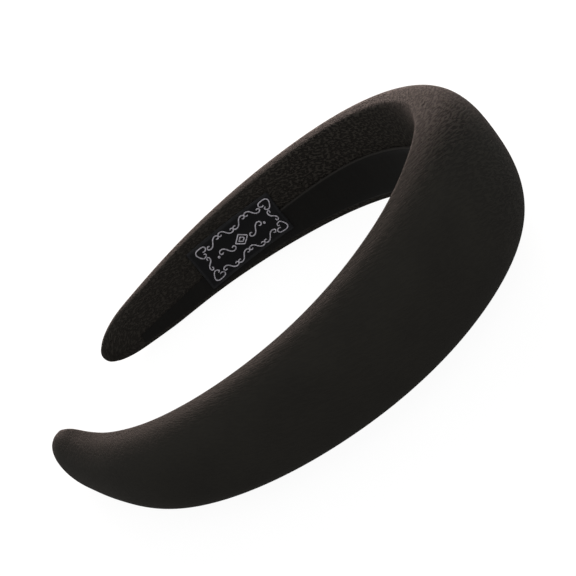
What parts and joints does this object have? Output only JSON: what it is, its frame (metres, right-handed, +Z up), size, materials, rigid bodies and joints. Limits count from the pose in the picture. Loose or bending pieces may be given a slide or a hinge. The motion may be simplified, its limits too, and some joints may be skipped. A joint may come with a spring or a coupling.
{
  "type": "padded headband",
  "caption": "Wide foam-padded, crepe-covered headband, a U that narrows to blunt tips, with a lapped inner seam and a woven label on one leg.",
  "frame": {"origin": "middle of the footprint, on the surface that the band lies on", "axes": "+X across the legs, +Y towards the crown, +Z up; the band lies on its side"},
  "size_m": [0.1624, 0.1528, 0.0415],
  "materials": {
    "crepe_cover": "matt warm-black crepe with a fine irregular wrinkled grain over foam",
    "crepe_inner": "the same crepe stretched flat, smoother, with faint ribs across the lap",
    "label_satin": "tight blue-black woven satin with turned edges",
    "label_thread": "silver-white glossy weft thread of the label's ornament"
  },
  "bodies": {
    "root": {"padded_band": "crepe_cover", "inner_flap": "crepe_inner", "woven_label": "label_satin"}
  },
  "joints": []
}
